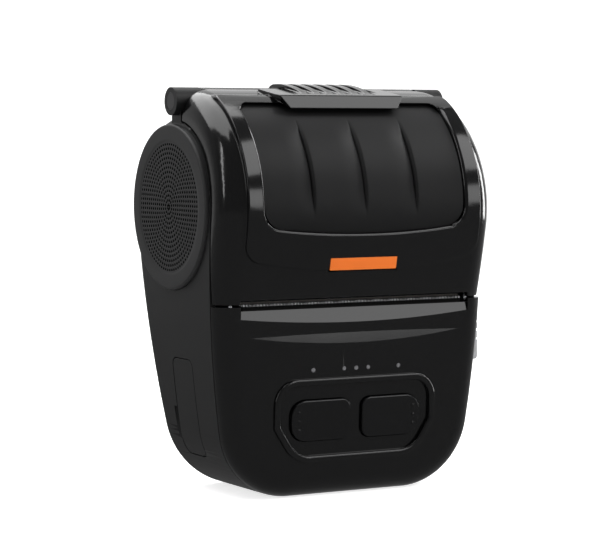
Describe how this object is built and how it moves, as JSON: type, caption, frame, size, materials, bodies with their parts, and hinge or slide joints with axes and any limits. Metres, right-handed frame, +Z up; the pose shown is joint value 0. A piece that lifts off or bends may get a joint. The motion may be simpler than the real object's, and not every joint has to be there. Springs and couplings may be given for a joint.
{
  "type": "portable label printer",
  "caption": "Battery-powered portable thermal printer with a hinged clamshell cover, a roll bay, a geared platen, two push buttons and a slide-up open lever",
  "frame": {"origin": "centre of the bounding box's bottom, on the surface that the printer stands on", "axes": "+Z up, -Y the front with the buttons and the paper slot, +X the printer's left-hand side as it faces the viewer, seen on the right from the front"},
  "size_m": [0.1, 0.0666, 0.1286],
  "materials": {
    "housing_plastic": "fine matt black",
    "gloss_black": "polished black",
    "window_plastic": "smoked, satin",
    "disc_plastic": "matt dark grey",
    "accent_orange": "satin orange",
    "key_plastic": "polished black",
    "lever_grey": "satin light grey",
    "inner_plastic": "matt black",
    "gear_plastic": "natural acetal",
    "bushing_plastic": "oil-filled plastic",
    "steel": "plain steel",
    "frame_steel": "zinc-plated sheet",
    "roller_rubber": "ground rubber",
    "aluminium": "as extruded",
    "ceramic": null,
    "board_green": "solder-masked board",
    "part_black": "moulded component",
    "clear_plastic": "clear moulded guide",
    "cable_film": "flat flexible cable",
    "brass": "plated contacts",
    "antenna_film": "printed coil on ferrite"
  },
  "bodies": {
    "base": {"rear_housing": "housing_plastic", "front_panel": "gloss_black", "left_side_disc": "disc_plastic", "right_side_disc": "disc_plastic", "left_hinge_cap": "disc_plastic", "right_hinge_cap": "disc_plastic", "hinge_pin": "steel", "cover_spring": "steel", "idler_post": "steel", "stepper_motor": "frame_steel", "tear_bar": "steel", "mech_frame": "frame_steel", "mech_screws": "steel", "latch_spring": "steel", "paper_bay": "inner_plastic", "paper_sensor": "part_black", "tag_antenna": "antenna_film", "main_board": "board_green", "usb_socket": "steel", "dc_jack": "part_black", "head_socket": "part_black", "head_cable": "cable_film", "buzzer": "part_black", "radio_module": "frame_steel", "board_screws": "steel", "panel_board": "board_green", "panel_board_screws": "steel", "tact_switches": "part_black", "status_leds": "ceramic", "light_guides": "clear_plastic", "battery_contacts": "brass", "case_screws": "steel", "head_springs": "steel"},
    "cover": {"cover_frame": "gloss_black", "cover_window": "window_plastic", "accent_bar": "accent_orange", "cover_liner": "inner_plastic", "platen_bushings": "bushing_plastic", "cover_screws": "steel"},
    "platen": {"platen_roller": "roller_rubber", "platen_shaft": "steel", "platen_gear": "gear_plastic"},
    "idler": {"idler_gear": "gear_plastic"},
    "motor_rotor": {"motor_pinion": "brass", "motor_shaft": "steel"},
    "head": {"print_head": "ceramic", "head_heatsink": "aluminium"},
    "latch": {"latch_shaft": "steel", "left_latch_hook": "frame_steel", "right_latch_hook": "frame_steel", "latch_crank": "frame_steel"},
    "lever": {"open_lever": "lever_grey"},
    "power_key": {"power_button": "key_plastic"},
    "feed_key": {"feed_button": "key_plastic"},
    "interface_flap": {"interface_cover": "housing_plastic"},
    "battery": {"battery_pack": "housing_plastic"},
    "battery_catch": {"battery_latch": "housing_plastic"}
  },
  "joints": [
    {"name": "cover_hinge", "type": "hinge", "parent": "base", "child": "cover", "pos_m": [0, 0.0049, 0.1229], "axis": [-1, 0, 0], "range_deg": [0, 95]},
    {"name": "platen_turn", "type": "hinge", "parent": "cover", "child": "platen", "pos_m": [0, -0.0176, 0.0664], "axis": [1, 0, 0], "continuous": true},
    {"name": "idler_turn", "type": "hinge", "parent": "base", "child": "idler", "pos_m": [0, -0.00478, 0.06129], "axis": [1, 0, 0], "continuous": true},
    {"name": "motor_turn", "type": "hinge", "parent": "base", "child": "motor_rotor", "pos_m": [0, -0.00259, 0.04889], "axis": [1, 0, 0], "continuous": true},
    {"name": "head_tilt", "type": "hinge", "parent": "base", "child": "head", "pos_m": [0, -0.0134, 0.058], "axis": [1, 0, 0], "range_deg": [0, 2], "stiffness_Nm_per_rad": 0.35, "springref_deg": -5.73, "deforming": ["head_springs"]},
    {"name": "lever_slide", "type": "slide", "parent": "base", "child": "lever", "axis": [0.0757, 0, 0.9971], "range_m": [0, 0.0035], "stiffness_N_per_m": 300, "springref_m": -0.002},
    {"name": "latch_turn", "type": "hinge", "parent": "base", "child": "latch", "pos_m": [0, -0.00784, 0.06252], "axis": [-1, 0, 0], "range_deg": [0, 29]},
    {"name": "power_press", "type": "slide", "parent": "base", "child": "power_key", "axis": [0, 0.9993, 0.0384], "range_m": [0, 0.0008], "stiffness_N_per_m": 600, "springref_m": -0.0004},
    {"name": "feed_press", "type": "slide", "parent": "base", "child": "feed_key", "axis": [0, 0.9993, 0.0384], "range_m": [0, 0.0008], "stiffness_N_per_m": 600, "springref_m": -0.0004},
    {"name": "interface_hinge", "type": "hinge", "parent": "base", "child": "interface_flap", "pos_m": [-0.04605, -0.0055, 0.02725], "axis": [-0.1297, 0, 0.9916], "range_deg": [0, 100]},
    {"name": "battery_slide", "type": "slide", "parent": "base", "child": "battery", "axis": [0, 0.9848, -0.1736], "range_m": [0, 0.03]},
    {"name": "battery_latch_slide", "type": "slide", "parent": "base", "child": "battery_catch", "axis": [0, 0.1736, 0.9848], "range_m": [0, 0.002], "stiffness_N_per_m": 300, "springref_m": -0.001}
  ],
  "couplings": [
    {"joint": "idler_turn", "follows": "platen_turn", "ratio": -0.53333},
    {"joint": "motor_turn", "follows": "platen_turn", "ratio": 1.3333},
    {"joint": "latch_turn", "follows": "lever_slide", "rad_per_m": 142.86}
  ]
}
